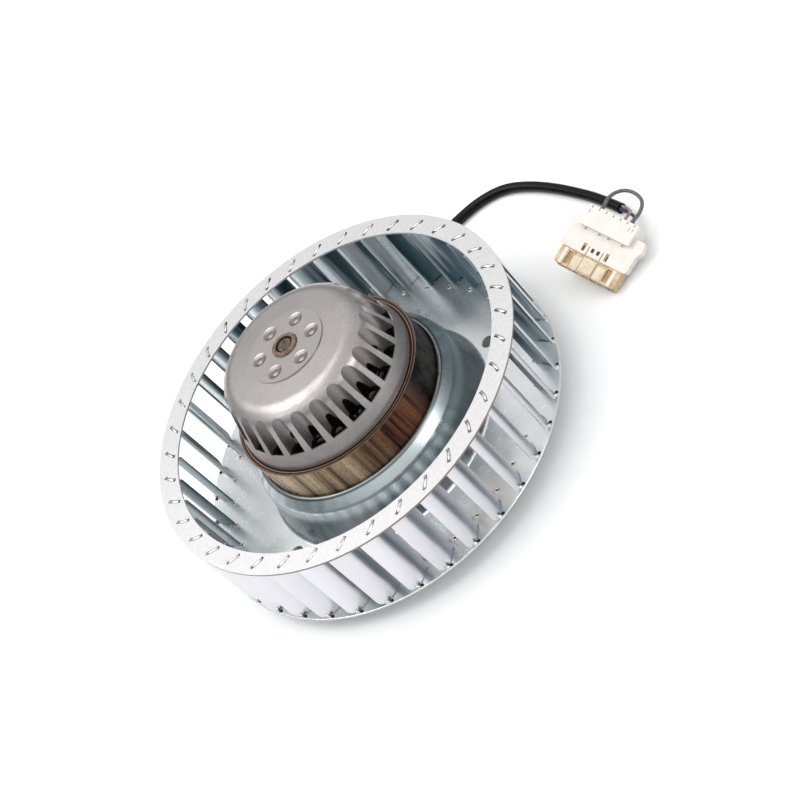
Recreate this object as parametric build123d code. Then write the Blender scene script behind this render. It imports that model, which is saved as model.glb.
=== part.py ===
"""Blower wheel on an external-rotor motor, with its supply cable and connector.

Millimetres, +Z along the spin axis towards the air inlet. The origin is the centre of the motor
flange's rear face, which is also the surface that the cable and the connector lie on.
"""
from build123d import *
from math import cos, pi, radians, sin, tan
import os

os.makedirs("parts", exist_ok=True)

# ---- driving dimensions: blower wheel ----
WHEEL_R = 100.0
SHEET = 1.0
RING_INNER_R = 89.0
RING_FACE_Z = 55.0
PLATE_FACE_Z = 11.2
BLADES = 38
BLADE_SHEET = 0.8
BLADE_PHASE = 3.9
BLADE_INNER_R = 88.0
BLADE_OUTER_R = 99.4
BLADE_INNER_LEAD = 2.2
BLADE_OUTER_LAG = 4.5
BLADE_CAMBER = 2.2
BLADE_FOOT_ROUND = 4.5
TAB_START, TAB_END = 0.21, 0.62
TAB_PROUD = 0.3
SLOT_CLEARANCE = 0.45

# ---- driving dimensions: hub and rotor ----
ROTOR_R = 50.3
ROTOR_BORE_R = 34.4
STACK_Z = (33.0, 57.3)
COLLAR_TOP_Z = 39.4
HUB_FOOT_R = 61.5
HUB_SHOULDER = (56.6, 33.6)
PLATE_HOLE_R, PLATE_HOLE_PITCH_R = 3.5, 69.5
PLATE_HOLE_TURNS = (193.0, 351.0)
CAGE_BARS = 28
BAR_R = 1.8
BAR_PITCH_R = 39.5
END_RING_R = (36.4, 47.2)
REAR_RING_Z = 27.0
VENTS = 24
VENT_PHASE = 0.4
VENT_R = 4.1
VENT_PITCH_R = 41.9
VENT_FLOOR_Z = 66.0
VENT_DRAIN_R, VENT_DRAIN_PITCH_R = 2.4, 41.5
DISC_R, DISC_Z = 20.4, 90.0
DIMPLES = 6
DIMPLE_PHASE = 34.5
DIMPLE_PITCH_R = 14.5
BUSH_R = 6.7
BUSH_Z = (74.0, 91.0)

# ---- driving dimensions: motor inside ----
SHAFT_R = 4.0
SHAFT_Z = (8.0, 90.6)
BEARING_R, BEARING_W = 11.0, 7.0
BEARING_SEATS_Z = (12.0, 61.0)
RUNNING_CLEARANCE = 0.03
TUBE_R = 14.0
TUBE_BORE_R = 9.0
FLANGE_R = 46.0
FLANGE_T = 6.0
RIM_T, RIM_Z = 4.0, 14.0
BOLT_PCD, BOLT_HOLE_R, BOLT_BOSS_R, BOLT_DEPTH = 64.0, 1.65, 5.0, 10.0
CORE_R = 34.0
CORE_SLOTS = 24
SLOT_R = (20.0, 32.0)
SLOT_W = 3.4
COIL_GAP = 0.3
END_TURN_R = (18.5, 31.5)
END_TURN_H = 9.5
INSULATOR_T = 0.8

# ---- driving dimensions: cable and connector ----
CABLE_D = 5.4
CABLE_EXIT_TURN = 66.0
GLAND_Z = 7.0
GLAND_R, GLAND_HEAD_R = 4.0, 5.0
GLAND_SPAN = (37.0, 50.0)
WIRE_D = 1.9
CORE_WIRE_D = 1.6


def save(node, shape):
    """Write one sub-part to its own file and print how many solids it holds."""
    solids = shape.solids() if hasattr(shape, "solids") else shape
    body = solids[0] if len(solids) == 1 else Compound(children=list(solids))
    export_step(body, f"parts/{node}.step")
    print(node, len(solids), round(sum(s.volume for s in solids), 1))


def disc(radius, low, high):
    """An upright cylinder between two heights."""
    return Pos(0, 0, low) * Cylinder(radius, high - low, align=(Align.CENTER, Align.CENTER, Align.MIN))


def tube(outer, inner, low, high):
    """An upright round tube between two heights."""
    return disc(outer, low, high) - disc(inner, low, high)


def around(count, phase=0.0):
    """Turns about the spin axis for a ring of equal features."""
    return [Rot(0, 0, phase + 360.0 / count * i) for i in range(count)]


def revolved(*edges):
    """A solid of revolution from a closed outline in the (radius, height) plane."""
    return revolve(Plane.XZ * make_face(edges), Axis.Z)


# ---- blades: rolled sheet, an arc in plan, with a tab at each end ----
inner_turn, outer_turn = radians(BLADE_INNER_LEAD), radians(-BLADE_OUTER_LAG)
blade_inner = Vector(BLADE_INNER_R * cos(inner_turn), BLADE_INNER_R * sin(inner_turn))
blade_outer = Vector(BLADE_OUTER_R * cos(outer_turn), BLADE_OUTER_R * sin(outer_turn))
chord = blade_outer - blade_inner
blade_radius = (chord.length**2 / 4 + BLADE_CAMBER**2) / (2 * BLADE_CAMBER)
bulge = Vector(-chord.Y, chord.X).normalized()
arc_centre = (blade_inner + blade_outer) * 0.5 - bulge * (blade_radius - BLADE_CAMBER)
inner_angle = (blade_inner - arc_centre).get_angle(Vector(1, 0, 0))
outer_angle = (blade_outer - arc_centre).get_angle(Vector(1, 0, 0))


def arc_strip(start, end, width, low, high):
    """A curved strip of the blade's arc, from one share of its sweep to another."""
    first = inner_angle + (outer_angle - inner_angle) * start
    sweep = (outer_angle - inner_angle) * (end - start)
    outer_arc = CenterArc((0, 0), blade_radius + width / 2, first, sweep)
    inner_arc = CenterArc((0, 0), blade_radius - width / 2, first, sweep)
    ends = [Line(inner_arc @ 0, outer_arc @ 0), Line(inner_arc @ 1, outer_arc @ 1)]
    face = make_face([outer_arc, inner_arc] + ends)
    return Pos(arc_centre.X, arc_centre.Y, low) * extrude(face, high - low, dir=(0, 0, 1))


ring_back_z = RING_FACE_Z - SHEET
plate_back_z = PLATE_FACE_Z - SHEET
blade = arc_strip(0, 1, BLADE_SHEET, PLATE_FACE_Z, ring_back_z)
foot_corner = blade.edges().sort_by_distance((blade_outer.X, blade_outer.Y, PLATE_FACE_Z))[0]
blade = fillet(foot_corner, BLADE_FOOT_ROUND)
tab_low, tab_high = plate_back_z - TAB_PROUD, RING_FACE_Z + TAB_PROUD
blade += arc_strip(TAB_START, TAB_END, BLADE_SHEET, tab_low, tab_high)
slot_share = SLOT_CLEARANCE / (blade_radius * radians(inner_angle - outer_angle))
slot = arc_strip(
    TAB_START - slot_share, TAB_END + slot_share, BLADE_SHEET + 2 * SLOT_CLEARANCE, 0, RING_FACE_Z + SHEET
)
blade_turns = around(BLADES, BLADE_PHASE)
slots = [turn * slot for turn in blade_turns]
for number, turn in enumerate(blade_turns, start=1):
    save(f"blade_{number:02d}", turn * blade)

# ---- front ring: flat sheet with one slot for each blade's tab ----
save("front_ring", tube(WHEEL_R, RING_INNER_R, ring_back_z, RING_FACE_Z) - slots)

# ---- back plate: flat rim, drawn-up hub, and a collar turned down onto the rotor ----
shoulder_r, shoulder_z = HUB_SHOULDER
collar_r = ROTOR_R + SHEET / 2
lip_overshoot = 1.6
hub_line = FilletPolyline(
    (WHEEL_R - SHEET / 2, PLATE_FACE_Z - SHEET / 2),
    (HUB_FOOT_R, PLATE_FACE_Z - SHEET / 2),
    (shoulder_r, shoulder_z),
    (collar_r, COLLAR_TOP_Z + lip_overshoot),
    (collar_r, STACK_Z[0] + SHEET),
    radius=[2.5, 5.0, 0.8],
)
hub_face = make_face(hub_line.wire().offset_2d(SHEET / 2, kind=Kind.INTERSECTION, side=Side.BOTH))
back_plate = revolve(Plane.XZ * hub_face, Axis.Z)
plate_hole = Pos(PLATE_HOLE_PITCH_R, 0, 0) * disc(PLATE_HOLE_R, 0, PLATE_FACE_Z + 1)
back_plate -= [Rot(0, 0, turn) * plate_hole for turn in PLATE_HOLE_TURNS]
save("back_plate", back_plate - slots)

# ---- rotor: laminated stack with a cast-aluminium squirrel cage and domed end bell ----
bars = [
    turn * Pos(BAR_PITCH_R, 0, 0) * disc(BAR_R, STACK_Z[0], STACK_Z[1]) for turn in around(CAGE_BARS)
]
save("rotor_stack", tube(ROTOR_R, ROTOR_BORE_R, *STACK_Z) - bars)

dome_outline = FilletPolyline(
    (0, DISC_Z - 0.6),
    (DISC_R, DISC_Z - 0.6),
    (34.0, 88.6),
    (39.6, 84.2),
    (45.2, 66.0),
    (46.9, 60.2),
    (END_RING_R[1], STACK_Z[1]),
    (END_RING_R[0], STACK_Z[1]),
    (END_RING_R[0], 60.5),
    (43.2, 60.9),
    (43.2, 64.4),
    (38.9, 65.0),
    (37.9, 74.0),
    (31.0, 84.4),
    (0, 84.8),
    radius=[20.0, 9.0, 9.0, 6.0, 2.0, 0.2, 0.3, 0.8, 1.0, 1.0, 0.3, 4.0, 6.0],
)
cage = revolved(dome_outline, Line(dome_outline @ 1, dome_outline @ 0))
cage += disc(DISC_R, DISC_Z - 3.0, DISC_Z)
cage += disc(13.0, BUSH_Z[0], 86.0)
cage += tube(END_RING_R[1], END_RING_R[0], REAR_RING_Z, STACK_Z[0])
cage += bars
# each vent is a pocket down the dome's side, open to the inside through its back and floor
vent = Pos(VENT_PITCH_R, 0, 0) * disc(VENT_R, VENT_FLOOR_Z, DISC_Z)
vent += Pos(VENT_PITCH_R + 2.5, 0, (VENT_FLOOR_Z + DISC_Z) / 2) * Box(5, 2 * VENT_R, DISC_Z - VENT_FLOOR_Z)
vent += Pos(VENT_DRAIN_PITCH_R, 0, 0) * disc(VENT_DRAIN_R, 62.0, VENT_FLOOR_Z)
cage -= [turn * vent for turn in around(VENTS, VENT_PHASE)]
# the cage's rivet heads: a round dish with a low dome in it
dish_ball_r, dish_depth = 9.2, 0.9
dish = Pos(DIMPLE_PITCH_R, 0, DISC_Z + dish_ball_r - dish_depth) * Sphere(dish_ball_r)
rivet_ball_r, rivet_top_z = 5.0, DISC_Z - 0.3
rivet = Pos(DIMPLE_PITCH_R, 0, rivet_top_z - rivet_ball_r) * Sphere(rivet_ball_r)
rivet &= Pos(DIMPLE_PITCH_R, 0, 0) * disc(3.0, DISC_Z - 2.0, DISC_Z)
cage -= [turn * dish for turn in around(DIMPLES, DIMPLE_PHASE)]
cage += [turn * rivet for turn in around(DIMPLES, DIMPLE_PHASE)]
cage -= disc(BUSH_R, 0, BUSH_Z[1])
save("rotor_cage", cage)

bush = tube(BUSH_R, SHAFT_R, *BUSH_Z)
bush = chamfer(bush.edges().filter_by(GeomType.CIRCLE).group_by(Axis.Z)[-1], 0.4)
save("hub_bush", bush)
circlip_z = BEARING_SEATS_Z[0] - 1.5
circlip_t, circlip_depth = 1.0, 0.4
shaft = chamfer(disc(SHAFT_R, *SHAFT_Z).edges().filter_by(GeomType.CIRCLE), 0.4)
shaft -= tube(SHAFT_R + 1, SHAFT_R - circlip_depth, circlip_z, circlip_z + circlip_t)
save("shaft", shaft)
clip = tube(SHAFT_R + 2.2, SHAFT_R - circlip_depth, circlip_z, circlip_z + circlip_t)
clip -= Pos(SHAFT_R + 1, 0, circlip_z) * Box(5, 2.4, 4)
save("circlip", clip)
washer_low = circlip_z + circlip_t
save("wave_washer", tube(SHAFT_R + 3.0, SHAFT_R + 0.1, washer_low, washer_low + 0.35))

# ---- motor flange: die-cast disc, rim and bearing tube; its rear face is the mounting face ----
flange = disc(FLANGE_R, 0, FLANGE_T) + tube(FLANGE_R, FLANGE_R - RIM_T, FLANGE_T, RIM_Z)
tube_top = BEARING_SEATS_Z[1] + BEARING_W
flange += disc(TUBE_R, FLANGE_T, tube_top)
bolt_turns = around(4, 45)
boss = Pos(BOLT_PCD / 2, 0, 0) * disc(BOLT_BOSS_R, 0, BOLT_DEPTH + 2)
bolt_hole = Pos(BOLT_PCD / 2, 0, 0) * disc(BOLT_HOLE_R, 0, BOLT_DEPTH)
flange += [turn * boss for turn in bolt_turns]
flange -= [turn * bolt_hole for turn in bolt_turns]
flange -= disc(TUBE_BORE_R, 0, tube_top)
flange -= disc(BEARING_R, 0, BEARING_SEATS_Z[0] + BEARING_W)
flange -= disc(BEARING_R, BEARING_SEATS_Z[1], tube_top)
exit_plane = Plane(origin=(0, 0, GLAND_Z), x_dir=(0, 0, 1), z_dir=(1, 0, 0))
exit_turn = Rot(0, 0, CABLE_EXIT_TURN)
gland_hole = extrude(exit_plane.offset(GLAND_SPAN[0]) * Circle(GLAND_R), FLANGE_R - GLAND_SPAN[0])
flange -= exit_turn * gland_hole
save("motor_flange", flange)

for end, seat_z in zip(("rear", "front"), BEARING_SEATS_Z):
    bearing = tube(BEARING_R, SHAFT_R + RUNNING_CLEARANCE, seat_z, seat_z + BEARING_W)
    for face_z in (seat_z - 1, seat_z + BEARING_W - 0.5):
        bearing -= tube(BEARING_R - 1.8, SHAFT_R + 1.8, face_z, face_z + 1.5)
    save(f"{end}_bearing", bearing)

# ---- stator: slotted core, coils in the slots with their end turns, end insulators ----
slot_box = Pos((SLOT_R[0] + SLOT_R[1]) / 2, 0, sum(STACK_Z) / 2)
core_turns = around(CORE_SLOTS)
slot_cut = slot_box * Box(SLOT_R[1] - SLOT_R[0], SLOT_W, 60)
mouth = Pos(CORE_R, 0, sum(STACK_Z) / 2) * Box(2 * (CORE_R - SLOT_R[1]) + 1, 1.6, 60)
slot_cuts = [turn * (slot_cut + mouth) for turn in core_turns]
save("stator_core", tube(CORE_R, TUBE_R, *STACK_Z) - slot_cuts)
coil_box = Box(SLOT_R[1] - SLOT_R[0] - 2 * COIL_GAP, SLOT_W - 2 * COIL_GAP, STACK_Z[1] - STACK_Z[0] + 3)
windings = [turn * slot_box * coil_box for turn in core_turns]
front_z, rear_z = STACK_Z[1] + INSULATOR_T, STACK_Z[0] - INSULATOR_T
end_turns = tube(*reversed(END_TURN_R), front_z, front_z + END_TURN_H)
end_turns += tube(*reversed(END_TURN_R), rear_z - END_TURN_H, rear_z)
end_turns = fillet(end_turns.edges().filter_by(GeomType.CIRCLE), 2.0)
save("stator_windings", end_turns + windings)
insulators = tube(CORE_R - 1, TUBE_R + 0.2, STACK_Z[1], front_z)
insulators += tube(CORE_R - 1, TUBE_R + 0.2, rear_z, STACK_Z[0])
save("end_insulators", insulators - slot_cuts)
protector = Pos(25.0, 0, front_z + END_TURN_H + 2.2) * Box(7, 14, 4.4)
save("thermal_protector", fillet(protector.edges().filter_by(Axis.X), 1.0))

# ---- supply cable: out of the gland, down to the floor, and round to the connector ----
gland = extrude(exit_plane.offset(GLAND_SPAN[0]) * Circle(GLAND_R), GLAND_SPAN[1] - GLAND_SPAN[0])
gland += extrude(exit_plane.offset(FLANGE_R) * Circle(GLAND_HEAD_R), GLAND_SPAN[1] - FLANGE_R)
gland -= extrude(exit_plane.offset(GLAND_SPAN[0]) * Circle(CABLE_D / 2), GLAND_SPAN[1] - GLAND_SPAN[0])
save("cable_gland", exit_turn * gland)

exit_x, exit_y = cos(radians(CABLE_EXIT_TURN)), sin(radians(CABLE_EXIT_TURN))
floor_z = CABLE_D / 2
cable_route = [
    (GLAND_SPAN[0] * exit_x, GLAND_SPAN[0] * exit_y, GLAND_Z),
    (55.0 * exit_x, 55.0 * exit_y, GLAND_Z),
    (32.5, 65.0, 3.4),
    (46.5, 75.0, floor_z),
    (62.0, 80.0, floor_z),
    (77.5, 82.0, floor_z),
    (92.5, 82.6, floor_z),
    (108.0, 82.2, floor_z),
    (123.5, 80.2, floor_z),
    (137.0, 73.0, floor_z),
    (145.5, 59.8, floor_z),
    (151.8, 44.0, floor_z),
    (156.4, 27.5, floor_z),
    (160.0, 11.0, floor_z),
    (161.6, -5.0, floor_z),
]


def round_path(points):
    """Straight runs joined by tangent arcs, each as large as its two runs allow."""
    steps = [Vector(b) - Vector(a) for a, b in zip(points, points[1:])]
    radii = []
    for before, after in zip(steps, steps[1:]):
        half_turn = radians(before.get_angle(after)) / 2
        radii.append(0.45 * min(before.length, after.length) / tan(half_turn))
    return FilletPolyline(*points, radius=radii), radii


def wire_along(points, diameter, name):
    """A round wire swept along a rounded path, its volume compared with section times length."""
    path, radii = round_path(points)
    start = Plane(origin=path @ 0, z_dir=path % 0)
    swept = sweep(start * Circle(diameter / 2), path=path)
    ideal = pi * diameter**2 / 4 * path.length
    print(f"{name}: length {path.length:.1f}, volume ratio {swept.volume / ideal:.4f},",
          f"tightest bend {min(radii):.1f}")
    return swept


save("supply_cable", wire_along(cable_route, CABLE_D, "supply cable"))

# ---- connector: cream housing, amber socket strip, contacts and the grey bridge wire ----
CONNECTOR_AT = (153.7, -20.0)
CONNECTOR_TURN, CONNECTOR_ROLL, CONNECTOR_PITCH = -78.7, 18.0, 9.5
REST_Z = 9.7
BLOCK_HALF, BLOCK_LENGTH, BLOCK_W = 14.4, 10.7, (-2.0, 10.5)
BODY_HALF, EAR_HALF = 19.6, 21.4
BODY_SPAN, BODY_W, BODY_DRAFT = (5.5, 22.9), (0.0, 7.5), 11.0
SOCKET_HALF, SOCKET_SPAN, SOCKET_W = 17.6, (14.0, 32.0), (0.9, 6.9)
POLES, POLE_PITCH = 7, 5.0
CAVITY = (3.9, 3.8)

turn_cos, turn_sin = cos(radians(CONNECTOR_TURN)), sin(radians(CONNECTOR_TURN))
roll, pitch = radians(CONNECTOR_ROLL), radians(CONNECTOR_PITCH)
flat_across, flat_along = Vector(turn_cos, turn_sin, 0), Vector(turn_sin, -turn_cos, 0)
across = flat_across * cos(roll) - Vector(0, 0, 1) * sin(roll)
upright = flat_across * sin(roll) + Vector(0, 0, 1) * cos(roll)
along = flat_along * cos(pitch) - upright * sin(pitch)
normal = flat_along * sin(pitch) + upright * cos(pitch)
seat = Plane(origin=(*CONNECTOR_AT, REST_Z), x_dir=across, z_dir=normal)
# the plane's own y axis points back towards the wires, so lengths along the connector are negative
across_block = Box(2 * BLOCK_HALF, BLOCK_LENGTH, BLOCK_W[1] - BLOCK_W[0])
block = Pos(0, -BLOCK_LENGTH / 2, sum(BLOCK_W) / 2) * across_block
body_outline = Polyline(
    (BODY_HALF - 1, -BODY_SPAN[1]),
    (BODY_HALF, -BODY_SPAN[1] + 2),
    (BODY_HALF, -BODY_SPAN[0] - 8),
    (EAR_HALF, -BODY_SPAN[0] - 5),
    (EAR_HALF - 1, -BODY_SPAN[0]),
    (1 - EAR_HALF, -BODY_SPAN[0]),
    (-EAR_HALF, -BODY_SPAN[0] - 5),
    (-BODY_HALF, -BODY_SPAN[0] - 8),
    (-BODY_HALF, -BODY_SPAN[1] + 2),
    (1 - BODY_HALF, -BODY_SPAN[1]),
    close=True,
)
body_top = Pos(0, 0, BODY_W[1]) * make_face(body_outline)
housing = extrude(body_top, BODY_W[1], dir=(0, 0, -1), taper=BODY_DRAFT)
housing += fillet(block.edges().filter_by(Axis.Z), 0.6)
socket_mid, socket_mid_w = -sum(SOCKET_SPAN) / 2, sum(SOCKET_W) / 2
socket_size = (2 * SOCKET_HALF, SOCKET_SPAN[1] - SOCKET_SPAN[0], SOCKET_W[1] - SOCKET_W[0])
housing -= Pos(0, socket_mid, socket_mid_w) * Box(*socket_size)
# the latch tongue between two slits, its windows, the foot windows and the wire entries' notches
for offset in (-4.0, 4.0):
    housing -= Pos(offset, -BODY_SPAN[1] + 2.3, BODY_W[1]) * Box(0.6, 4.6, 1.6)
for offset, width, length in ((-6.6, 1.9, 4.0), (-1.6, 1.7, 2.2), (1.6, 1.7, 2.2), (6.6, 1.9, 4.0)):
    housing -= Pos(offset, -19.7, BODY_W[1]) * Box(width, length, 1.6)
for offset in (-10.6, -2.6, 2.8, 11.0):
    housing -= Pos(offset, -BLOCK_LENGTH - 0.6, BODY_W[1]) * Box(2.0, 1.0, 1.6)
for i in range(POLES):
    housing -= Pos(4.1 * (i - (POLES - 1) / 2), -0.7, BLOCK_W[1]) * Box(0.9, 1.6, 2.4)
for offset in (-12.6, 10.6, 12.6):
    housing -= Pos(offset, -3.4, BLOCK_W[1]) * Box(0.7, 1.8, 1.2)

socket = fillet(Box(*socket_size).edges().filter_by(Axis.Z).group_by(Axis.Y)[0], 1.5)
socket = Pos(0, socket_mid, socket_mid_w) * socket
cavity_depth = 13.0
cavity_mid = -SOCKET_SPAN[1] + cavity_depth / 2
cavity_box = Box(CAVITY[0], cavity_depth, CAVITY[1])
cavity_at = [POLE_PITCH * (i - (POLES - 1) / 2) for i in range(POLES)]
socket -= [Pos(x, cavity_mid, socket_mid_w) * cavity_box for x in cavity_at]
# open keyways on top: a deep one by each end post, a shallow one on each side of the middle key
for side in (-1, 1):
    socket -= Pos(side * 11.4, -27.4, SOCKET_W[1]) * Box(2.6, 6.6, 3.0)
    socket -= Pos(side * 6.9, -28.0, SOCKET_W[1]) * Box(5.4, 9.0, 1.0)
    socket -= Pos(side * 14.3, -28.0, SOCKET_W[1]) * Box(0.8, 9.0, 1.0)
contact_l, contact_w, contact_t = 11.0, 2.8, 0.8
contact = Pos(0, -SOCKET_SPAN[1] + cavity_depth - contact_l / 2, socket_mid_w)
contact *= Box(contact_w, contact_l, contact_t)
contacts = [Pos(x, 0, 0) * contact for x in cavity_at]
save("connector_housing", seat * housing)
save("connector_socket", seat * socket)
save("connector_contacts", Compound([seat * contact for contact in contacts]))

bridge_route = [
    (151.32, -11.44, 16.73),
    (154.72, -10.84, 17.31),
    (157.67, -10.03, 17.92),
    (161.71, -10.59, 18.16),
    (166.09, -13.88, 17.47),
    (167.99, -18.88, 15.91),
    (167.55, -23.75, 14.15),
    (165.33, -26.18, 13.05),
    (161.18, -27.56, 12.11),
    (157.80, -27.29, 11.84),
    (154.50, -27.39, 11.44),
]
save("bridge_wire", wire_along(bridge_route, WIRE_D, "bridge wire"))

# ---- core wires: out of the jacket's end and up into the housing's wire entries ----
brown_route = [
    (162.45, -4.92, 3.40),
    (162.80, -8.40, 3.40),
    (162.30, -13.40, 5.20),
    (160.90, -17.90, 8.30),
    (157.73, -21.32, 11.27),
    (153.83, -21.90, 10.64),
]
blue_route = [
    (160.75, -5.09, 3.40),
    (161.10, -8.57, 3.40),
    (161.10, -13.60, 4.40),
    (160.90, -19.00, 6.20),
    (158.62, -23.83, 8.03),
    (154.71, -24.40, 7.40),
]
brown_wire = wire_along(brown_route, CORE_WIRE_D, "brown wire")
blue_wire = wire_along(blue_route, CORE_WIRE_D, "blue wire")
save("core_wires", Compound([brown_wire.solid(), blue_wire.solid()]))
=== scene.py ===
"""Blower wheel on its external-rotor motor, with its cable and connector: finishes and fine detail
built round the fixed CAD frame. Metres, +Z along the spin axis."""
import math

import bpy
import numpy as np
from mathutils import Matrix, Vector


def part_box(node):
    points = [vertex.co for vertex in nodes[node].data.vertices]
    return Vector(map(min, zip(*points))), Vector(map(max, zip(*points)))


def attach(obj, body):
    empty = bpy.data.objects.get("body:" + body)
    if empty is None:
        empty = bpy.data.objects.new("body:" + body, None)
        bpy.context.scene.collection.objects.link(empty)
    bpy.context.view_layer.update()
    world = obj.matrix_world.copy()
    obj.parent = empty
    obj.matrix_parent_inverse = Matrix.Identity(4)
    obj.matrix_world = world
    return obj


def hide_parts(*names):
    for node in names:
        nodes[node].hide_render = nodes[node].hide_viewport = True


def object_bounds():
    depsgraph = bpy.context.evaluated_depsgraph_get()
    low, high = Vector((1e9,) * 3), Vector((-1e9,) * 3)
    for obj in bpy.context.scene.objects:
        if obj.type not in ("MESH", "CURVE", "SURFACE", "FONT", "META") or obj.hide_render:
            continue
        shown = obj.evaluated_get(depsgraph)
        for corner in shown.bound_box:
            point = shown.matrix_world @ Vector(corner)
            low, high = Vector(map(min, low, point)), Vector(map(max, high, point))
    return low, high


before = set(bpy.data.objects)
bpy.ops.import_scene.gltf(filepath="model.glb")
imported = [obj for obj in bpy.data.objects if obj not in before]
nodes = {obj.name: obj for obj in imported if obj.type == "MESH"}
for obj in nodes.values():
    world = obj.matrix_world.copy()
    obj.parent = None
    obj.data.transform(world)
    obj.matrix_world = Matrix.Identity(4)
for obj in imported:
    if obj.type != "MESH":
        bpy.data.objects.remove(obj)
cad_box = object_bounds()

# ---- Camera ---------------------------------------------------------------------------------
# A long lens looks down past the front ring at 39 degrees, with the view rolled so that the
# spin axis leans to the upper left. It aims a little to one side of the ring's centre.
ring_low, ring_high = (Vector(corner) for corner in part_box("front_ring"))
wheel_radius = (ring_high.x - ring_low.x) / 2
ring_centre = Vector((0, 0, ring_high.z))
elevation, roll = math.radians(38.79), math.radians(46.46)
pan, tilt = math.radians(-2.240), math.radians(0.427)
camera_distance = 8.645 * wheel_radius
camera_data = bpy.data.cameras.new("camera")
camera_data.lens, camera_data.sensor_width = 82.73, 36.0
camera = bpy.data.objects.new("camera", camera_data)
bpy.context.scene.collection.objects.link(camera)
away = Vector((0, -math.cos(elevation), math.sin(elevation)))
turn = (
    Matrix.Rotation(math.pi / 2 - elevation, 4, "X")
    @ Matrix.Rotation(-roll, 4, "Z")
    @ Matrix.Rotation(-tilt, 4, "X")
    @ Matrix.Rotation(pan, 4, "Y")
)
camera.matrix_world = Matrix.Translation(ring_centre + away * camera_distance) @ turn
bpy.context.scene.camera = camera
bpy.context.scene.view_settings.view_transform = "Standard"

# ---- Floor and studio light -----------------------------------------------------------------
# A plain white floor under a soft white tent, brighter overhead than at the horizon, with one
# large soft light from the upper left and a smaller one from the right.
floor_half = 6.0
floor_data = bpy.data.meshes.new("floor")
floor_data.from_pydata(
    [(x * floor_half, y * floor_half, 0) for x, y in ((-1, -1), (1, -1), (1, 1), (-1, 1))],
    [],
    [(0, 1, 2, 3)],
)
floor = bpy.data.objects.new("floor", floor_data)
floor.location.z = cad_box[0][2] - 0.0002
bpy.context.scene.collection.objects.link(floor)
floor_paint = bpy.data.materials.new("floor_white")
floor_paint.use_nodes = True
floor_shader = floor_paint.node_tree.nodes["Principled BSDF"]
floor_shader.inputs["Base Color"].default_value = (0.93, 0.93, 0.93, 1)
floor_shader.inputs["Roughness"].default_value = 0.9
floor_data.materials.append(floor_paint)

world = bpy.data.worlds.new("tent")
world.use_nodes = True
bpy.context.scene.world = world
tent, tie = world.node_tree.nodes, world.node_tree.links
sky_direction = tent.new("ShaderNodeTexCoord")
sky_height = tent.new("ShaderNodeSeparateXYZ")
sky_ramp = tent.new("ShaderNodeValToRGB")
tie.new(sky_direction.outputs["Generated"], sky_height.inputs["Vector"])
tie.new(sky_height.outputs["Z"], sky_ramp.inputs["Fac"])
sky_ramp.color_ramp.elements[0].position = 0.0
sky_ramp.color_ramp.elements[0].color = (0.05, 0.075, 0.09, 1)
sky_ramp.color_ramp.elements[1].position = 0.6
sky_ramp.color_ramp.elements[1].color = (1.0, 1.0, 1.0, 1)
sky_middle = sky_ramp.color_ramp.elements.new(0.3)
sky_middle.color = (0.32, 0.36, 0.38, 1)
tie.new(sky_ramp.outputs["Color"], tent["Background"].inputs["Color"])
tent["Background"].inputs["Strength"].default_value = 0.95


def soft_light(name, place, aim, size, watts):
    """A square area light at a place, facing a point."""
    data = bpy.data.lights.new(name, "AREA")
    data.shape, data.size, data.energy = "SQUARE", size, watts
    lamp = bpy.data.objects.new(name, data)
    facing = (Vector(aim) - Vector(place)).to_track_quat("-Z", "Y")
    lamp.matrix_world = Matrix.Translation(place) @ facing.to_matrix().to_4x4()
    bpy.context.scene.collection.objects.link(lamp)


soft_light("overhead", (-0.5, 0.3, 1.5), ring_centre, 1.4, 17.0)
soft_light("front_fill", (0.9, -1.2, 0.7), ring_centre, 0.7, 6.5)

# ---- Front ring -----------------------------------------------------------------------------
# A flat annulus of galvanised sheet, pierced with one slot for each blade's tab. Zinc leaves a
# faint spangle, and the cut edge has browned. The node groups and the Finish class, which every
# later section uses as well, come first.


def new_group(name, inputs, outputs):
    """A shader node group with named sockets; gives the group and its own input and output nodes."""
    group = bpy.data.node_groups.new(name, "ShaderNodeTree")
    for socket, kind, value in inputs:
        made = group.interface.new_socket(socket, in_out="INPUT", socket_type=kind)
        if value is not None:
            made.default_value = value
    for socket, kind in outputs:
        group.interface.new_socket(socket, in_out="OUTPUT", socket_type=kind)
    return group, group.nodes.new("NodeGroupInput"), group.nodes.new("NodeGroupOutput")


def mottle_group():
    """Two tones mixed by layered noise, with the noise also given as a height and a mask."""
    group, source, result = new_group(
        "mottle",
        [
            ("Vector", "NodeSocketVector", None),
            ("Scale", "NodeSocketFloat", 40.0),
            ("Low", "NodeSocketFloat", 0.35),
            ("High", "NodeSocketFloat", 0.65),
            ("Dark Tone", "NodeSocketColor", (0.4, 0.4, 0.4, 1)),
            ("Light Tone", "NodeSocketColor", (0.8, 0.8, 0.8, 1)),
        ],
        [("Color", "NodeSocketColor"), ("Mask", "NodeSocketFloat")],
    )
    made, join = group.nodes, group.links
    noise = made.new("ShaderNodeTexNoise")
    noise.inputs["Detail"].default_value = 5.0
    spread = made.new("ShaderNodeMapRange")
    tones = made.new("ShaderNodeMix")
    tones.data_type = "RGBA"
    join.new(source.outputs["Vector"], noise.inputs["Vector"])
    join.new(source.outputs["Scale"], noise.inputs["Scale"])
    join.new(noise.outputs["Fac"], spread.inputs["Value"])
    join.new(source.outputs["Low"], spread.inputs["From Min"])
    join.new(source.outputs["High"], spread.inputs["From Max"])
    join.new(spread.outputs["Result"], tones.inputs["Factor"])
    join.new(source.outputs["Dark Tone"], tones.inputs["A"])
    join.new(source.outputs["Light Tone"], tones.inputs["B"])
    join.new(tones.outputs["Result"], result.inputs["Color"])
    join.new(spread.outputs["Result"], result.inputs["Mask"])
    return group


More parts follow.
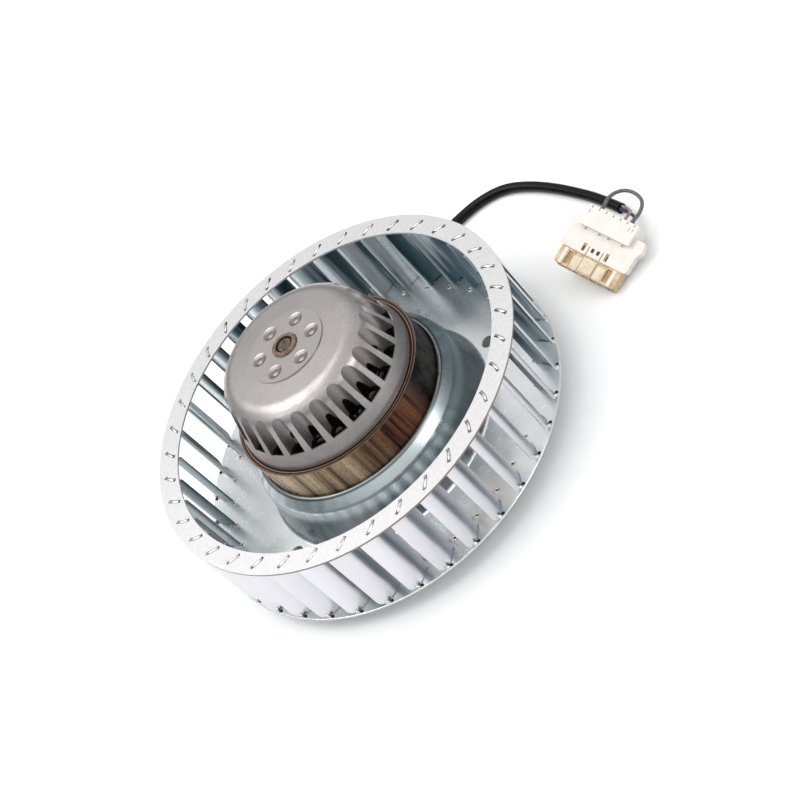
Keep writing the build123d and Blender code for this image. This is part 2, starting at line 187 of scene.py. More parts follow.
mottle = mottle_group()


def polar_group():
    """Place round the spin axis: distance from it, height, and how far the face looks outwards."""
    group, source, result = new_group(
        "polar",
        [("Vector", "NodeSocketVector", None), ("Normal", "NodeSocketVector", None)],
        [("Radius", "NodeSocketFloat"), ("Height", "NodeSocketFloat"), ("Outward", "NodeSocketFloat")],
    )
    made, join = group.nodes, group.links
    split, level = made.new("ShaderNodeSeparateXYZ"), made.new("ShaderNodeCombineXYZ")
    reach, arm, facing = (made.new("ShaderNodeVectorMath") for _ in range(3))
    reach.operation, arm.operation, facing.operation = "LENGTH", "NORMALIZE", "DOT_PRODUCT"
    join.new(source.outputs["Vector"], split.inputs["Vector"])
    join.new(split.outputs["X"], level.inputs["X"])
    join.new(split.outputs["Y"], level.inputs["Y"])
    join.new(level.outputs["Vector"], reach.inputs[0])
    join.new(level.outputs["Vector"], arm.inputs[0])
    join.new(arm.outputs["Vector"], facing.inputs[0])
    join.new(source.outputs["Normal"], facing.inputs[1])
    join.new(reach.outputs["Value"], result.inputs["Radius"])
    join.new(split.outputs["Z"], result.inputs["Height"])
    join.new(facing.outputs["Value"], result.inputs["Outward"])
    return group


polar = polar_group()


class Finish:
    """One procedural material: a Principled shader, Object coordinates, and ways to wire them."""

    def __init__(self, name, metallic, roughness):
        self.material = bpy.data.materials.new(name)
        self.material.use_nodes = True
        self.nodes = self.material.node_tree.nodes
        self.links = self.material.node_tree.links
        self.shader = self.nodes["Principled BSDF"]
        self.shader.inputs["Metallic"].default_value = metallic
        self.shader.inputs["Roughness"].default_value = roughness
        here = self.nodes.new("ShaderNodeTexCoord")
        self.place, self.normal = here.outputs["Object"], here.outputs["Normal"]

    def stretched(self, scale):
        """Object coordinates scaled apart along each axis, so that a pattern runs one way."""
        mapping = self.nodes.new("ShaderNodeMapping")
        mapping.inputs["Scale"].default_value = scale
        self.links.new(self.place, mapping.inputs["Vector"])
        return mapping.outputs["Vector"]

    def mottled(self, vector, scale, low, high, dark, light):
        """A mottle group placed in this material, with its own tones."""
        layer = self.nodes.new("ShaderNodeGroup")
        layer.node_tree = mottle
        self.links.new(vector, layer.inputs["Vector"])
        layer.inputs["Scale"].default_value = scale
        layer.inputs["Low"].default_value = low
        layer.inputs["High"].default_value = high
        layer.inputs["Dark Tone"].default_value = (*dark, 1)
        layer.inputs["Light Tone"].default_value = (*light, 1)
        return layer

    def polar(self):
        """A polar group placed in this material."""
        layer = self.nodes.new("ShaderNodeGroup")
        layer.node_tree = polar
        self.links.new(self.place, layer.inputs["Vector"])
        self.links.new(self.normal, layer.inputs["Normal"])
        return layer

    def step(self, value, start, end):
        """A mask that rises smoothly from 0 at one value to 1 at another; start may be the larger."""
        rise = self.nodes.new("ShaderNodeMapRange")
        rise.interpolation_type = "SMOOTHSTEP"
        rise.inputs["From Min"].default_value = start
        rise.inputs["From Max"].default_value = end
        self.links.new(value, rise.inputs["Value"])
        return rise.outputs["Result"]

    def both(self, first, second):
        """The product of two masks."""
        product = self.nodes.new("ShaderNodeMath")
        product.operation = "MULTIPLY"
        self.links.new(first, product.inputs[0])
        self.links.new(second, product.inputs[1])
        return product.outputs["Value"]

    def overlay(self, mask, under, over):
        """One colour laid over another by a mask; either may be a socket or a plain colour."""
        mix = self.nodes.new("ShaderNodeMix")
        mix.data_type = "RGBA"
        self.links.new(mask, mix.inputs["Factor"])
        for value, socket in ((under, mix.inputs["A"]), (over, mix.inputs["B"])):
            if isinstance(value, tuple):
                socket.default_value = (*value, 1)
            else:
                self.links.new(value, socket)
        return mix.outputs["Result"]

    def ranged(self, mask, low, high, target):
        """A mask stretched between two values, into one of the shader's inputs."""
        spread = self.nodes.new("ShaderNodeMapRange")
        spread.inputs["To Min"].default_value = low
        spread.inputs["To Max"].default_value = high
        self.links.new(mask, spread.inputs["Value"])
        self.links.new(spread.outputs["Result"], self.shader.inputs[target])

    def bumped(self, height, distance, strength=1.0):
        """Surface relief from a height that varies over the surface."""
        bump = self.nodes.new("ShaderNodeBump")
        bump.inputs["Distance"].default_value = distance
        bump.inputs["Strength"].default_value = strength
        self.links.new(height, bump.inputs["Height"])
        self.links.new(bump.outputs["Normal"], self.shader.inputs["Normal"])

    def colour(self, socket):
        """Wire a colour to the shader's base colour."""
        self.links.new(socket, self.shader.inputs["Base Color"])

    def onto(self, *names):
        """Give this finish to CAD nodes."""
        for name in names:
            nodes[name].data.materials.clear()
            nodes[name].data.materials.append(self.material)


ring = Finish("zinc_ring", 0.85, 0.5)
ring_place = ring.polar()
ring_tone = ring.mottled(ring.place, 650.0, 0.3, 0.7, (0.63, 0.62, 0.625), (0.71, 0.70, 0.705))
cut_edge = ring.step(ring_place.outputs["Outward"], 0.3, 0.6)
ring.colour(ring.overlay(cut_edge, ring_tone.outputs["Color"], (0.25, 0.20, 0.17)))
ring.bumped(ring_tone.outputs["Mask"], 0.000008)
ring.onto("front_ring")

# ---- Tab heads ------------------------------------------------------------------------------
# Each blade's tab comes through its slot in the ring and is peened over into a bright lens, which
# locks the blade.


def lenses(centres, along, across, up, half_length, half_width, half_height, rings=8, sides=10):
    """Closed pointed lenses, one for each centre, as (vertices, faces).

    At share s from -1 to 1 along the lens and angle t round it, a point lies s * half_length along,
    half_width * (1 - s^2) * cos t across and half_height * (1 - s^2) * sin t up.
    """
    share = np.linspace(-1, 1, rings + 2)[1:-1, None]
    angle = np.linspace(0, 2 * np.pi, sides, endpoint=False)[None, :]
    swell = 1 - share**2
    local = np.stack(
        [
            half_length * share + 0 * angle,
            half_width * swell * np.cos(angle),
            half_height * swell * np.sin(angle),
        ],
        axis=-1,
    ).reshape(-1, 3)
    local = np.vstack([local, [[-half_length, 0, 0], [half_length, 0, 0]]])
    axes = np.stack([along, across, up], axis=1)
    vertices = centres[:, None, :] + np.einsum("vk,nkc->nvc", local, axes)
    ring, side = np.meshgrid(np.arange(rings - 1), np.arange(sides), indexing="ij")
    after = (side + 1) % sides
    quads = np.stack(
        [ring * sides + side, ring * sides + after, (ring + 1) * sides + after, (ring + 1) * sides + side],
        axis=-1,
    ).reshape(-1, 4)
    turn = np.arange(sides)
    low, high = rings * sides, rings * sides + 1
    last = (rings - 1) * sides
    low_fan = np.stack([np.full(sides, low), (turn + 1) % sides, turn], axis=-1)
    high_fan = np.stack([np.full(sides, high), last + turn, last + (turn + 1) % sides], axis=-1)
    steps = np.arange(len(centres))[:, None, None] * len(local)
    faces = (quads[None] + steps).reshape(-1, 4).tolist()
    faces += (low_fan[None] + steps).reshape(-1, 3).tolist()
    faces += (high_fan[None] + steps).reshape(-1, 3).tolist()
    return vertices.reshape(-1, 3), faces


def surface(name, vertices, faces, finish, body, slot):
    """A mesh object from computed points, with its finish and body. The slot argument is not used."""
    data = bpy.data.meshes.new(name)
    data.from_pydata(vertices.tolist(), [], faces)
    data.polygons.foreach_set("use_smooth", [len(faces) > 40] * len(faces))
    data.materials.append(finish.material)
    data.update()
    made = bpy.data.objects.new(name, data)
    bpy.context.scene.collection.objects.link(made)
    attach(made, body)
    return made


blade_count, blade_phase = 38, 3.9


def around_axis(radius, ahead, height, lean):
    """One place for each blade, some degrees ahead of it, with a direction leaning from the radius."""
    turns = np.radians(blade_phase + ahead + np.arange(blade_count) * 360 / blade_count)
    heading = turns + np.radians(lean)
    level = np.zeros(blade_count)
    centres = np.stack([radius * np.cos(turns), radius * np.sin(turns), level + height], axis=-1)
    along = np.stack([np.cos(heading), np.sin(heading), level], axis=-1)
    across = np.stack([-np.sin(heading), np.cos(heading), level], axis=-1)
    return centres, along, across, np.tile([0.0, 0.0, 1.0], (blade_count, 1))


bright = Finish("peened_zinc", 0.95, 0.22)
bright_tone = bright.mottled(bright.place, 700.0, 0.35, 0.65, (0.55, 0.54, 0.50), (0.95, 0.94, 0.90))
bright.colour(bright_tone.outputs["Color"])
tab_radius, tab_ahead, tab_lean = 0.0940, 0.18, -39.9
tab_places = around_axis(tab_radius, tab_ahead, ring_high.z + 0.0001, tab_lean)
surface("tab_heads", *lenses(*tab_places, 0.0033, 0.00088, 0.00055), bright, "rotor", "galvanised_ring")

# ---- Back plate and hub ---------------------------------------------------------------------
# The same sheet, flat at the rim and drawn up into a hub whose collar grips the rotor. The hub's
# steep wall is painted dark and its shoulder light blue-grey, both as painted reflections; its top lip is
# painted shade.
plate = Finish("zinc_plate", 0.92, 0.26)
plate_place = plate.polar()
plate_clouds = plate.mottled(plate.place, 30.0, 0.3, 0.7, (0.62, 0.65, 0.66), (0.78, 0.80, 0.81))
plate_specks = plate.mottled(plate.place, 420.0, 0.60, 0.68, (0, 0, 0), (1, 1, 1))
wall_grain = plate.stretched((60, 60, 14))
# Painted reflection: a dark streaky tone on the hub's steep wall.
wall_reflection = plate.mottled(wall_grain, 1.0, 0.35, 0.65, (0.15, 0.19, 0.20), (0.42, 0.46, 0.47))
specked = plate.overlay(plate_specks.outputs["Mask"], plate_clouds.outputs["Color"], (0.86, 0.87, 0.88))
wall_heights, wall_radii = (0.033, 0.026), (0.0635, 0.0605)
shoulder_heights, lip_heights = (0.028, 0.034), (0.0386, 0.0390)
on_wall = plate.both(
    plate.step(plate_place.outputs["Height"], *wall_heights),
    plate.step(plate_place.outputs["Radius"], *wall_radii),
)
shoulder = plate.step(plate_place.outputs["Height"], *shoulder_heights)
with_wall = plate.overlay(on_wall, specked, wall_reflection.outputs["Color"])
# Painted reflection: a flat light blue-grey over the hub's shoulder.
shoulder_reflection = plate.overlay(shoulder, with_wall, (0.62, 0.70, 0.72))
# Painted shade: the collar's top lip is dark.
lip_shade = plate.step(plate_place.outputs["Height"], *lip_heights)
plate.colour(plate.overlay(lip_shade, shoulder_reflection, (0.20, 0.22, 0.22)))
plate.ranged(plate_clouds.outputs["Mask"], 0.2, 0.34, "Roughness")
plate.bumped(plate_clouds.outputs["Mask"], 0.00003, 0.5)
plate.onto("back_plate")

# ---- Blades ---------------------------------------------------------------------------------
# Rolled strips, staked into ring and plate by a tab at each end. Much of their colour is painted
# reflection that depends on the half of the wheel. On the near half the outer side is clean zinc and
# the hollow side a painted dark streaked reflection, flat teal towards the foot. On the far half the
# outer side is a painted dark reflection and the hollow side a painted bright streaked reflection.
blade_names = [name for name in nodes if name.startswith("blade_")]
blade = Finish("zinc_blade", 0.9, 0.3)
blade_place = blade.polar()
clean = blade.mottled(blade.stretched((90, 90, 8)), 1.0, 0.3, 0.7, (0.67, 0.665, 0.70), (0.75, 0.745, 0.78))
streak_grain = blade.stretched((190, 190, 8))
# Painted reflection: dark teal streaks on the hollow side of near-half blades.
streaked_reflection = blade.mottled(streak_grain, 1.0, 0.44, 0.57, (0.02, 0.045, 0.055), (0.38, 0.46, 0.50))
foot_blend_heights, far_half, turned_out = (0.040, 0.010), (-0.005, 0.035), (-0.1, 0.15)
# Painted reflection: towards the foot the hollow side turns a flat teal.
towards_foot = blade.step(blade_place.outputs["Height"], *foot_blend_heights)
hollow_reflection = blade.overlay(towards_foot, streaked_reflection.outputs["Color"], (0.20, 0.26, 0.29))
across_wheel = blade.nodes.new("ShaderNodeSeparateXYZ")
blade.links.new(blade.place, across_wheel.inputs["Vector"])
# Painted reflection: a dark teal streaked tone on the far half's outer side.
far_reflection_grain = blade.stretched((150, 150, 6))
far_dark_reflection = blade.mottled(far_reflection_grain, 1.0, 0.35, 0.65, (0.035, 0.06, 0.07), (0.20, 0.26, 0.28))
far_side = blade.step(across_wheel.outputs["Y"], *far_half)
outer_tone = blade.overlay(far_side, clean.outputs["Color"], far_dark_reflection.outputs["Color"])
# Painted reflection: a bright streaked tone on the far half's hollow side.
lit = blade.mottled(blade.stretched((170, 170, 8)), 1.0, 0.42, 0.60, (0.07, 0.13, 0.15), (0.88, 0.93, 0.96))
inner_tone = blade.overlay(far_side, hollow_reflection, lit.outputs["Color"])
outside = blade.step(blade_place.outputs["Outward"], *turned_out)
blade.colour(blade.overlay(outside, inner_tone, outer_tone))
blade.ranged(clean.outputs["Mask"], 0.26, 0.36, "Roughness")
blade.onto(*blade_names)

# ---- Blade feet -----------------------------------------------------------------------------
# At each blade's foot the plate is pierced and burred on the inside, and swaged into a bright
# bead on the rim. The hole inside each burr and the dent beside each bead are dark lenses of painted shade.
# Painted shade: a near-black finish for the foot holes and dents.
dark = Finish("hole_and_dent_shade", 0.3, 0.8)
dark_tone = dark.mottled(dark.place, 500.0, 0.3, 0.7, (0.004, 0.004, 0.004), (0.02, 0.02, 0.02))
dark.colour(dark_tone.outputs["Color"])
plate_top = 0.0112


def round_rings(centres, along, across, up, radius, thickness, sides=12, turns=6):
    """Closed round rings, one for each centre, as (vertices, faces).

    At angle a round the ring and b round its section, a point lies at distance
    radius + thickness * cos b from the centre and thickness * sin b above it.
    """
    round_ring = np.linspace(0, 2 * np.pi, sides, endpoint=False)
    round_section = np.linspace(0, 2 * np.pi, turns, endpoint=False)
    a, b = np.meshgrid(round_ring, round_section, indexing="ij")
    reach = radius + thickness * np.cos(b)
    local = np.stack([reach * np.cos(a), reach * np.sin(a), thickness * np.sin(b)], axis=-1).reshape(-1, 3)
    vertices = centres[:, None, :] + np.einsum("vk,nkc->nvc", local, np.stack([along, across, up], axis=1))
    i, j = np.meshgrid(np.arange(sides), np.arange(turns), indexing="ij")
    next_i, next_j = (i + 1) % sides, (j + 1) % turns
    quads = np.stack(
        [i * turns + j, next_i * turns + j, next_i * turns + next_j, i * turns + next_j], axis=-1
    )
    offsets = np.arange(len(centres))[:, None, None] * len(local)
    return vertices.reshape(-1, 3), (quads.reshape(1, -1, 4) + offsets).reshape(-1, 4).tolist()


burr_radius, bead_radius, bead_lean = 0.0872, 0.0984, 60
burr_places = around_axis(burr_radius, 3.6, plate_top + 0.0002, 0)
surface("foot_burrs", *round_rings(*burr_places, 0.00095, 0.00032), bright, "rotor", "galvanised_plate")
surface("foot_hole_shade", *lenses(*burr_places, 0.0009, 0.0009, 0.0003), dark, "rotor", "galvanised_plate")
bead_places = around_axis(bead_radius, -2.6, plate_top + 0.0005, bead_lean)
surface("foot_beads", *lenses(*bead_places, 0.0016, 0.0012, 0.0012), bright, "rotor", "galvanised_plate")
dent_places = around_axis(bead_radius, -1.3, plate_top + 0.0002, bead_lean)
surface("foot_dent_shade", *lenses(*dent_places, 0.0011, 0.0008, 0.0004), dark, "rotor", "galvanised_plate")

# ---- Rotor stack ----------------------------------------------------------------------------
# Punched laminations, turned on the outside, then browned by heat and rust in upright streaks. Across
# the band the tone runs tan to one side, red in the middle and nearly black to the other: a painted
# highlight on the tan side and painted shade on the black side, over the real browning. A copper line
# runs in the groove on top, whose floor is painted near black as shade.
stack = Finish("browned_laminations", 0.75, 0.36)
stack_place = stack.polar()
sides_of = stack.nodes.new("ShaderNodeSeparateXYZ")
stack.links.new(stack.place, sides_of.inputs["Vector"])
tan = stack.mottled(stack.stretched((230, 230, 7)), 1.0, 0.36, 0.64, (0.15, 0.08, 0.04), (0.78, 0.58, 0.37))
red_grain = stack.stretched((330, 330, 14))
red = stack.mottled(red_grain, 1.0, 0.36, 0.66, (0.030, 0.009, 0.005), (0.42, 0.17, 0.085))
black_grain = stack.stretched((150, 150, 60))
# Painted shade: the near-black tone for the dark side of the band.
black = stack.mottled(black_grain, 1.0, 0.4, 0.7, (0.008, 0.010, 0.009), (0.16, 0.14, 0.11))
tan_to_red, red_to_black = (-0.018, 0.004), (0.016, 0.034)
# Painted highlight and shade: tan towards -X, red in the middle, near black towards +X.
lit_side_to_red = stack.step(sides_of.outputs["X"], *tan_to_red)
browned_and_shaded = stack.overlay(lit_side_to_red, tan.outputs["Color"], red.outputs["Color"])
shaded_side = stack.step(sides_of.outputs["X"], *red_to_black)
browned_and_shaded = stack.overlay(shaded_side, browned_and_shaded, black.outputs["Color"])
specks = stack.mottled(stack.place, 1500.0, 0.45, 0.95, (0, 0, 0), (1, 1, 1))
browned_and_shaded = stack.overlay(specks.outputs["Mask"], browned_and_shaded, (0.02, 0.012, 0.008))
sheets = stack.nodes.new("ShaderNodeTexWave")
sheets.bands_direction = "Z"
sheets.inputs["Scale"].default_value = 318.0
sheets.inputs["Distortion"].default_value = 0.6
stack.links.new(stack.place, sheets.inputs["Vector"])
sheet_lines = stack.step(sheets.outputs["Fac"], 0.3, 0.0)
browned_and_shaded = stack.overlay(stack.both(sheet_lines, specks.outputs["Mask"]), browned_and_shaded, (0.02, 0.012, 0.008))
top_heights, ledge_radii = (0.05722, 0.05728), (0.0492, 0.0496)
copper_inner, copper_outer = (0.0481, 0.0482), (0.0486, 0.0485)
on_top = stack.step(stack_place.outputs["Height"], *top_heights)
copper_line = stack.both(
    stack.step(stack_place.outputs["Radius"], *copper_inner),
    stack.step(stack_place.outputs["Radius"], *copper_outer),
)
# Painted shade: the groove round the copper line is near black.
shaded_groove = stack.overlay(copper_line, (0.010, 0.007, 0.006), (0.36, 0.21, 0.14))
on_ledge = stack.step(stack_place.outputs["Radius"], *ledge_radii)
ledge = stack.overlay(on_ledge, shaded_groove, (0.17, 0.11, 0.075))
stack.colour(stack.overlay(on_top, browned_and_shaded, ledge))
stack.ranged(red.outputs["Mask"], 0.26, 0.46, "Roughness")
stack.bumped(sheets.outputs["Fac"], 0.00003, 0.6)
stack.onto("rotor_stack")

# ---- Rotor cage -----------------------------------------------------------------------------
# Die-cast aluminium: the squirrel cage and, in one piece with it, the vented dome. Matt and warm
# grey, with a fine grain and stains from handling; the inside, seen through the vents, is painted black as
# shade.
cage = Finish("cast_aluminium", 0.82, 0.40)
cage_place = cage.polar()
grain = cage.mottled(cage.place, 1100.0, 0.3, 0.7, (0.36, 0.335, 0.325), (0.46, 0.435, 0.425))
stains = cage.mottled(cage.place, 42.0, 0.48, 0.72, (0, 0, 0), (1, 1, 1))
stained = cage.overlay(stains.outputs["Mask"], grain.outputs["Color"], (0.33, 0.29, 0.28))
crown_heights, floor_heights, dish_heights = (0.0858, 0.0846), (0.0664, 0.0661), (0.08995, 0.0896)
inner_radii, floor_radii, dish_radii = (0.0465, 0.0461), (0.0446, 0.0443), (0.0192, 0.0190)
wall_taper = 0.115
# Painted shade: near black for the inner walls and the vent floors.
vent_shade_black = (0.006, 0.006, 0.006)
below_crown = cage.step(cage_place.outputs["Height"], *crown_heights)
inner_line = cage.nodes.new("ShaderNodeMath")
inner_line.operation = "MULTIPLY_ADD"
inner_line.inputs[1].default_value = wall_taper
cage.links.new(cage_place.outputs["Height"], inner_line.inputs[0])
cage.links.new(cage_place.outputs["Radius"], inner_line.inputs[2])
inside = cage.both(below_crown, cage.step(inner_line.outputs["Value"], *inner_radii))
below_floor = cage.both(
    cage.step(cage_place.outputs["Height"], *floor_heights),
    cage.step(cage_place.outputs["Radius"], *floor_radii),
)
in_dish = cage.both(
    cage.step(cage_place.outputs["Height"], *dish_heights),
    cage.step(cage_place.outputs["Radius"], *dish_radii),
)
dished = cage.overlay(in_dish, stained, (0.24, 0.22, 0.21))
hollow = cage.overlay(below_floor, dished, vent_shade_black)
cage.colour(cage.overlay(inside, hollow, vent_shade_black))
cage.ranged(stains.outputs["Mask"], 0.34, 0.5, "Roughness")
cage.bumped(grain.outputs["Mask"], 0.00002)
cage.onto("rotor_cage")

# ---- Bush, shaft and rings ------------------------------------------------------------------
# The steel bush is cast into the dome and carries the shaft; both have browned. A circlip and a
# wave washer hold the shaft endways at the rear bearing.
bush = Finish("browned_steel", 0.7, 0.45)
bush_tone = bush.mottled(bush.place, 600.0, 0.35, 0.7, (0.12, 0.075, 0.05), (0.30, 0.21, 0.15))
bush_place = bush.polar()
# Painted shade: a near-black ring round the bore stands for the gap between bush and shaft.
gap_radii = (0.0048, 0.0044)
gap_shade = bush.step(bush_place.outputs["Radius"], *gap_radii)
bush.colour(bush.overlay(gap_shade, bush_tone.outputs["Color"], (0.012, 0.009, 0.007)))
bush.bumped(bush_tone.outputs["Mask"], 0.00003)
bush.onto("hub_bush")
shaft = Finish("shaft_steel", 0.85, 0.36)
shaft_tone = shaft.mottled(shaft.place, 700.0, 0.3, 0.7, (0.05, 0.04, 0.032), (0.20, 0.165, 0.135))
shaft.colour(shaft_tone.outputs["Color"])
shaft.onto("shaft")
spring = Finish("phosphated_spring", 0.8, 0.4)
spring_tone = spring.mottled(spring.place, 800.0, 0.3, 0.7, (0.08, 0.08, 0.09), (0.2, 0.2, 0.21))
spring.colour(spring_tone.outputs["Color"])
spring.onto("circlip", "wave_washer")

# ---- Motor flange and bearings --------------------------------------------------------------
# A die-cast aluminium disc with a rim and a bearing tube; the rear face is turned flat.
flange = Finish("flange_casting", 0.85, 0.42)
flange_tone = flange.mottled(flange.place, 900.0, 0.3, 0.7, (0.5, 0.5, 0.5), (0.68, 0.68, 0.67))
flange.colour(flange_tone.outputs["Color"])
flange.bumped(flange_tone.outputs["Mask"], 0.00003)
flange.onto("motor_flange")
bearing = Finish("ground_steel", 1.0, 0.2)
bearing_tone = bearing.mottled(bearing.place, 500.0, 0.3, 0.7, (0.5, 0.5, 0.51), (0.62, 0.62, 0.63))
bearing.colour(bearing_tone.outputs["Color"])
bearing.onto("front_bearing", "rear_bearing")

# ---- Stator ---------------------------------------------------------------------------------
# Punched core, enamelled copper coils, plastic end insulators and the thermal protector.
core = Finish("core_laminations", 0.6, 0.5)
core_grain = core.stretched((90, 90, 1800))
core_tone = core.mottled(core_grain, 1.0, 0.3, 0.7, (0.16, 0.17, 0.18), (0.3, 0.31, 0.33))
core.colour(core_tone.outputs["Color"])
core.onto("stator_core")
copper = Finish("enamelled_copper", 0.6, 0.35)
copper_grain = copper.stretched((500, 500, 2400))
# Painted shade: the copper coils are darkened nearly to black, as they lie in the motor's shade.
shaded_copper_tone = copper.mottled(copper_grain, 1.0, 0.3, 0.7, (0.02, 0.009, 0.005), (0.07, 0.03, 0.015))
copper.colour(shaded_copper_tone.outputs["Color"])
copper.bumped(shaded_copper_tone.outputs["Mask"], 0.0002)
copper.onto("stator_windings")
insulator = Finish("insulator_plastic", 0.0, 0.5)
insulator_tone = insulator.mottled(insulator.place, 300.0, 0.3, 0.7, (0.66, 0.63, 0.55), (0.76, 0.73, 0.66))
insulator.colour(insulator_tone.outputs["Color"])
insulator.onto("end_insulators")
protector = Finish("protector_plastic", 0.0, 0.45)
protector_tone = protector.mottled(
    protector.place, 400.0, 0.3, 0.7, (0.02, 0.02, 0.022), (0.05, 0.05, 0.055)
)
protector.colour(protector_tone.outputs["Color"])
protector.onto("thermal_protector")

# ---- Supply cable ---------------------------------------------------------------------------
# Round black cable: out of the flange's rubber gland, down to the floor, and round to the
# connector. Its points are the route of the CAD tube.
gland = Finish("gland_rubber", 0.0, 0.6)
gland_tone = gland.mottled(gland.place, 900.0, 0.3, 0.7, (0.012, 0.012, 0.012), (0.03, 0.03, 0.03))
gland.colour(gland_tone.outputs["Color"])
gland.onto("cable_gland")

jacket_diameter, floor_line = 0.0054, 0.0027
gland_low, gland_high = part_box("cable_gland")
exit_height = (gland_low[2] + gland_high[2]) / 2
exit_turn = math.radians(66.0)
cable_start, cable_straight = 0.037, 0.055
cable_route = [
    (cable_start * math.cos(exit_turn), cable_start * math.sin(exit_turn), exit_height),
    (cable_straight * math.cos(exit_turn), cable_straight * math.sin(exit_turn), exit_height),
    (0.0325, 0.0650, 0.0034),
    (0.0465, 0.0750, floor_line),
    (0.0620, 0.0800, floor_line),
    (0.0775, 0.0820, floor_line),
    (0.0925, 0.0826, floor_line),
    (0.1080, 0.0822, floor_line),
    (0.1235, 0.0802, floor_line),
    (0.1370, 0.0730, floor_line),
    (0.1455, 0.0598, floor_line),
    (0.1518, 0.0440, floor_line),
    (0.1564, 0.0275, floor_line),
    (0.1600, 0.0110, floor_line),
    (0.1616, -0.0050, floor_line),
]


def round_cord(name, route, diameter, finish):
    """A round cord: a smooth NURBS line through the route, bevelled to the cord's section."""
    curve = bpy.data.curves.new(name, "CURVE")
    curve.dimensions = "3D"
    spline = curve.splines.new("NURBS")
    spline.points.add(len(route) - 1)
    spline.points.foreach_set("co", [value for point in route for value in (*point, 1.0)])
    spline.order_u = 3
    spline.use_endpoint_u = True
    spline.resolution_u = 10
    curve.bevel_depth, curve.bevel_resolution = diameter / 2, 6
    curve.use_fill_caps = True
    curve.materials.append(finish.material)
    cord = bpy.data.objects.new(name, curve)
    bpy.context.scene.collection.objects.link(cord)
    return cord


jacket = Finish("black_jacket", 0.0, 0.3)
jacket.shader.inputs["Specular IOR Level"].default_value = 0.16
jacket_tone = jacket.mottled(jacket.place, 260.0, 0.3, 0.7, (0.002, 0.0016, 0.0016), (0.006, 0.005, 0.005))
jacket.colour(jacket_tone.outputs["Color"])
jacket.ranged(jacket_tone.outputs["Mask"], 0.24, 0.34, "Roughness")
supply_cable = round_cord("supply_cable_jacket", cable_route, jacket_diameter, jacket)
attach(supply_cable, "stator")
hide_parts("supply_cable")

# ---- Core wires and bridge wire -------------------------------------------------------------
# A brown and a blue core leave the jacket's end and rise into the connector. A stiff grey wire
# bridges two of the connector's poles in an open loop.
wire_diameter, bridge_diameter = 0.0016, 0.0019
brown_route = [
    (0.16245, -0.00492, 0.00340),
    (0.16280, -0.00840, 0.00340),
    (0.16230, -0.01340, 0.00520),
    (0.16090, -0.01790, 0.00830),
    (0.15773, -0.02132, 0.01127),
    (0.15383, -0.02190, 0.01064),
]
blue_route = [
    (0.16075, -0.00509, 0.00340),
    (0.16110, -0.00857, 0.00340),
    (0.16110, -0.01360, 0.00440),
    (0.16090, -0.01900, 0.00620),
    (0.15862, -0.02383, 0.00803),
    (0.15471, -0.02440, 0.00740),
]
bridge_route = [
    (0.15132, -0.01144, 0.01673),
    (0.15472, -0.01084, 0.01731),
    (0.15767, -0.01003, 0.01792),
    (0.16171, -0.01059, 0.01816),
    (0.16609, -0.01388, 0.01747),
    (0.16799, -0.01888, 0.01591),
    (0.16755, -0.02375, 0.01415),
    (0.16533, -0.02618, 0.01305),
    (0.16118, -0.02756, 0.01211),
    (0.15780, -0.02729, 0.01184),
    (0.15450, -0.02739, 0.01144),
]
brown = Finish("brown_wire", 0.0, 0.4)
brown_tone = brown.mottled(brown.place, 500.0, 0.3, 0.7, (0.20, 0.12, 0.10), (0.36, 0.24, 0.21))
brown.colour(brown_tone.outputs["Color"])
blue = Finish("blue_wire", 0.0, 0.4)
blue_tone = blue.mottled(blue.place, 500.0, 0.3, 0.7, (0.012, 0.014, 0.07), (0.03, 0.04, 0.17))
blue.colour(blue_tone.outputs["Color"])
grey = Finish("grey_wire", 0.0, 0.42)
grey_tone = grey.mottled(grey.place, 500.0, 0.3, 0.7, (0.075, 0.07, 0.07), (0.13, 0.12, 0.12))
grey.colour(grey_tone.outputs["Color"])
brown_wire = round_cord("brown_core_wire", brown_route, wire_diameter, brown)
blue_wire = round_cord("blue_core_wire", blue_route, wire_diameter, blue)
bridge_wire = round_cord("grey_bridge_wire", bridge_route, bridge_diameter, grey)
for wire in (brown_wire, blue_wire, bridge_wire):
    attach(wire, "stator")
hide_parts("core_wires")
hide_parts("core_wires")
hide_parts("bridge_wire")

# ---- Connector ------------------------------------------------------------------------------
# A moulded cream housing over an amber socket strip, with one tinned contact in each cavity.
cream = Finish("connector_cream", 0.0, 0.42)
cream_tone = cream.mottled(cream.place, 180.0, 0.3, 0.7, (0.70, 0.65, 0.60), (0.76, 0.715, 0.665))
cream.colour(cream_tone.outputs["Color"])
cream.onto("connector_housing")
amber = Finish("connector_amber", 0.0, 0.32)
amber_tone = amber.mottled(amber.place, 220.0, 0.35, 0.7, (0.42, 0.29, 0.14), (0.66, 0.53, 0.33))
amber.colour(amber_tone.outputs["Color"])
amber.onto("connector_socket")
tin = Finish("contact_tin", 1.0, 0.3)
tin_tone = tin.mottled(tin.place, 600.0, 0.3, 0.7, (0.5, 0.48, 0.44), (0.7, 0.68, 0.64))
tin.colour(tin_tone.outputs["Color"])
tin.onto("connector_contacts")

# Trim on the connector: dark windows, pale keys and ribs, and deep amber keyways, as thin boxes set
# in the connector's own directions: across its poles, along its length, and out of its top face.
connector_place = np.array([153.7, -20.0, 9.7])
turn_c, roll_c, pitch_c = math.radians(-78.7), math.radians(18.0), math.radians(9.5)
flat_across = Vector((math.cos(turn_c), math.sin(turn_c), 0))
flat_along = Vector((math.sin(turn_c), -math.cos(turn_c), 0))
across_c = flat_across * math.cos(roll_c) - Vector((0, 0, 1)) * math.sin(roll_c)
upright_c = flat_across * math.sin(roll_c) + Vector((0, 0, 1)) * math.cos(roll_c)
along_c = flat_along * math.cos(pitch_c) - upright_c * math.sin(pitch_c)
out_c = flat_along * math.sin(pitch_c) + upright_c * math.cos(pitch_c)


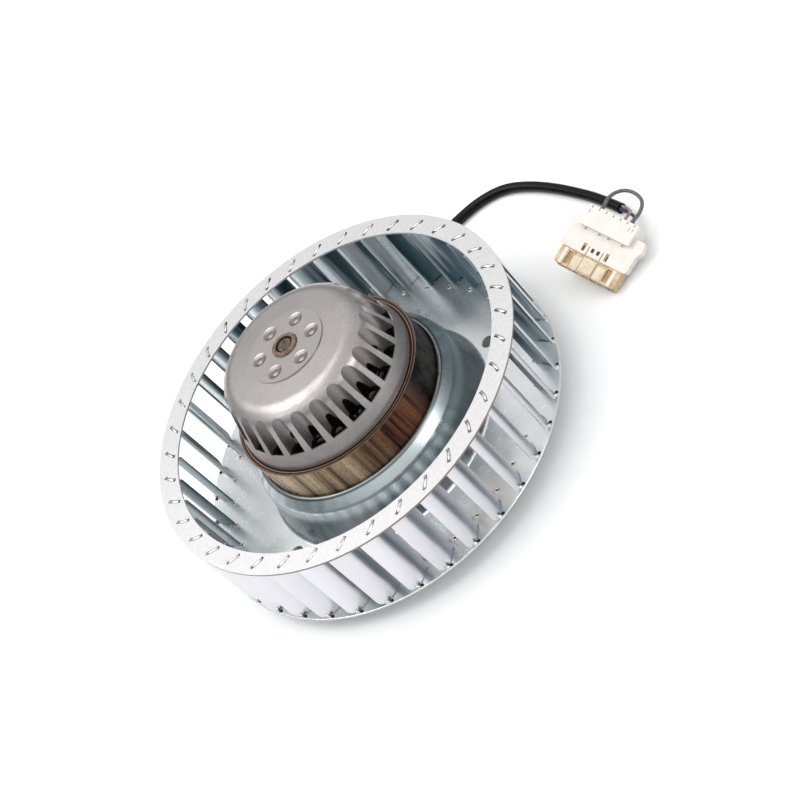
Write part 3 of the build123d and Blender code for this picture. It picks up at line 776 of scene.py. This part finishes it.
def connector_boxes(rows):
    """Closed boxes on the connector, as (vertices, faces).

    Each row is centre across, along, out, then the three half sizes, in millimetres. A corner is
    the centre plus each half size with either sign, turned into the connector's directions.
    """
    rows = np.asarray(rows, dtype=float)
    signs = np.array([[x, y, z] for z in (-1, 1) for y in (-1, 1) for x in (-1, 1)], dtype=float)
    local = rows[:, None, :3] + rows[:, None, 3:] * signs[None]
    axes = np.array([across_c, along_c, out_c])
    vertices = (connector_place + local.reshape(-1, 3) @ axes) / 1000
    sides = np.array([(0, 1, 3, 2), (4, 6, 7, 5), (0, 4, 5, 1), (2, 3, 7, 6), (0, 2, 6, 4), (1, 5, 7, 3)])
    return vertices, (sides[None] + np.arange(len(rows))[:, None, None] * 8).reshape(-1, 4).tolist()


shade = Finish("window_shade", 0.0, 0.6)
shade_tone = shade.mottled(shade.place, 500.0, 0.3, 0.7, (0.02, 0.012, 0.008), (0.06, 0.035, 0.02))
shade.colour(shade_tone.outputs["Color"])
windows = [(-1.6, 19.7, 6.9, 0.8, 1.0, 0.15), (1.6, 19.7, 6.9, 0.8, 1.0, 0.15)]
windows += [(side * 6.9, 20.2, 6.9, 0.45, 1.3, 0.15) for side in (-1, 1)]
latch_windows = surface("latch_windows", *connector_boxes(windows), shade, "stator", "connector_amber")
deep = Finish("deep_amber", 0.0, 0.3)
deep_tone = deep.mottled(deep.place, 260.0, 0.3, 0.7, (0.26, 0.12, 0.03), (0.50, 0.28, 0.09))
deep.colour(deep_tone.outputs["Color"])
keyways = [(side * 11.4, 27.4, 5.9, 1.2, 3.2, 0.35) for side in (-1, 1)]
amber_keyways = surface("amber_keyways", *connector_boxes(keyways), deep, "stator", "connector_amber")
pale = Finish("pale_amber", 0.0, 0.28)
pale_tone = pale.mottled(pale.place, 300.0, 0.3, 0.7, (0.58, 0.47, 0.30), (0.76, 0.68, 0.52))
pale.colour(pale_tone.outputs["Color"])
keys = [(0, 27.6, 7.1, 3.6, 3.6, 0.35)] + [(side * 6.9, 28.2, 6.55, 2.4, 3.2, 0.2) for side in (-1, 1)]
amber_keys = surface("amber_keys", *connector_boxes(keys), pale, "stator", "connector_amber")
ribs = [(side * 14.3, 27.6, 6.85, 0.9, 4.2, 0.45) for side in (-1, 1)]
cream_ribs = surface("cream_ribs", *connector_boxes(ribs), cream, "stator", "connector_cream")

# The real cable is free from where it leaves the gland, some way along its first straight stretch; the
# parts that go with it are gathered in a list here.
on_cable = [nodes["cable_gland"]]
on_cable += [nodes["connector_" + part] for part in ("housing", "socket", "contacts")]
on_cable += [brown_wire, blue_wire, latch_windows, amber_keyways, amber_keys, cream_ribs]
